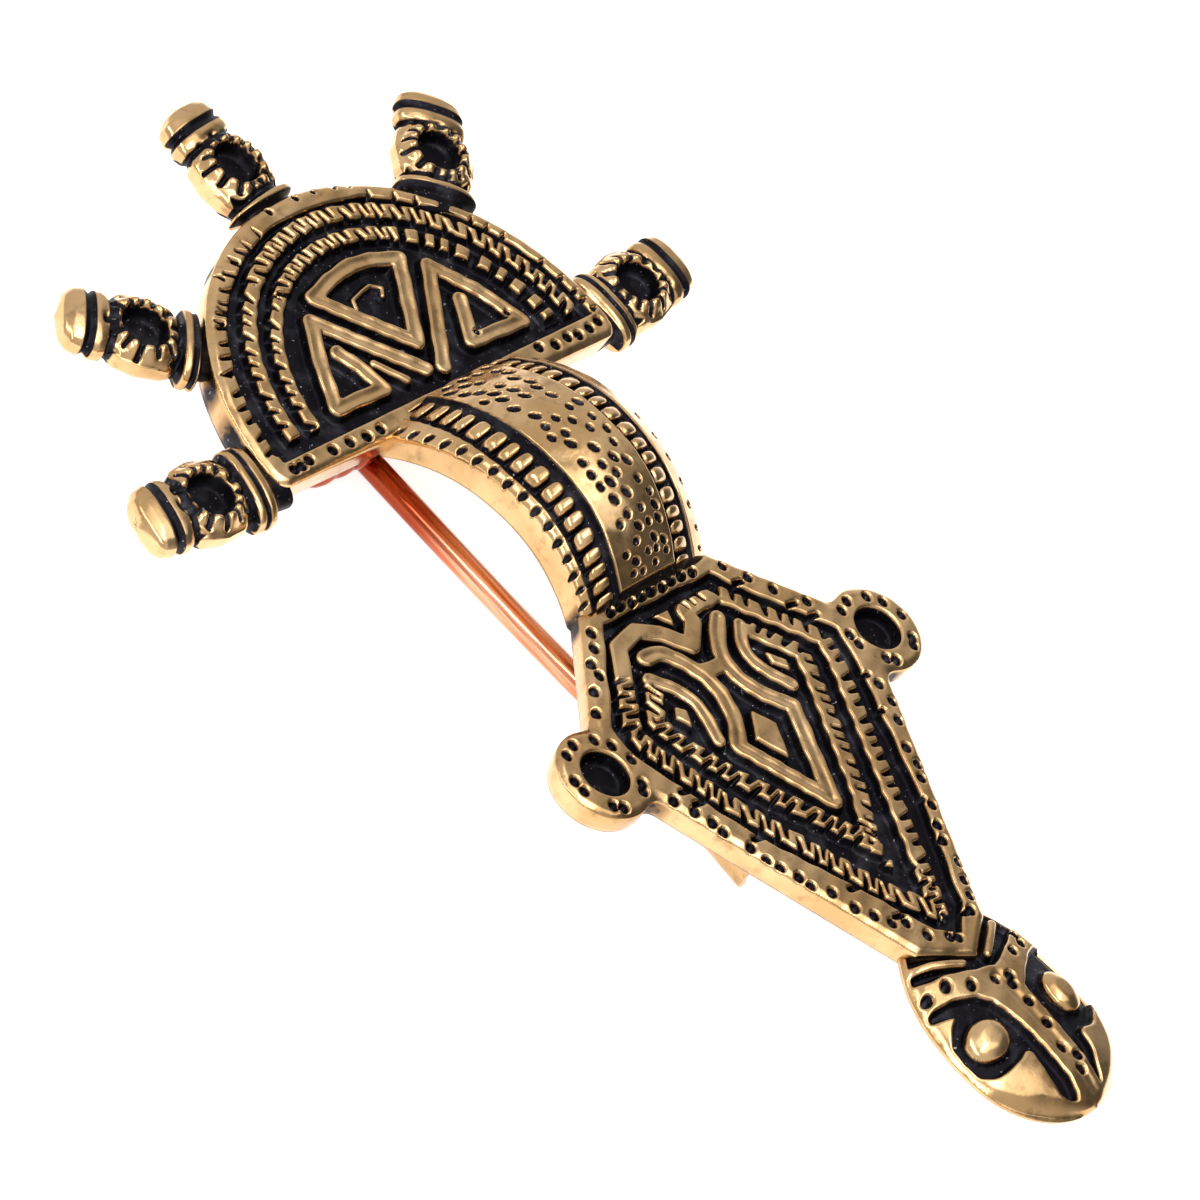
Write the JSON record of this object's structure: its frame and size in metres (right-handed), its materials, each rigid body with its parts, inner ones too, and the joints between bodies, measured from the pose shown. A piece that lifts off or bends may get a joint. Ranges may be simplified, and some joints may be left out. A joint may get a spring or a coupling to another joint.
{
  "type": "fibula brooch",
  "caption": "Cast bow brooch: half-round head plate with knobs, arched bow, lozenge foot plate ending in an animal head, chip-carved relief, and a sprung copper pin on the back.",
  "frame": {"origin": "under the middle of the box, on the surface that the brooch lies on", "axes": "+Y along the brooch towards the knobs, +Z out of the decorated face, +X to the right with the knobs up"},
  "size_m": [0.0482, 0.078, 0.014],
  "materials": {
    "bronze": "polished cast bronze, with a blue-black patina left in every recess",
    "copper": "bright drawn copper wire, darker where it leaves the coil"
  },
  "bodies": {
    "brooch": {"casting": "bronze"},
    "wire": {"pin": "copper"}
  },
  "joints": [
    {"name": "pin_swing", "type": "hinge", "parent": "brooch", "child": "wire", "pos_m": [0.00029, 0.01842, 0.00238], "axis": [0.8572, 0, 0.515], "range_deg": [0, 12], "stiffness_Nm_per_rad": 0.05, "springref_deg": -2.86}
  ]
}
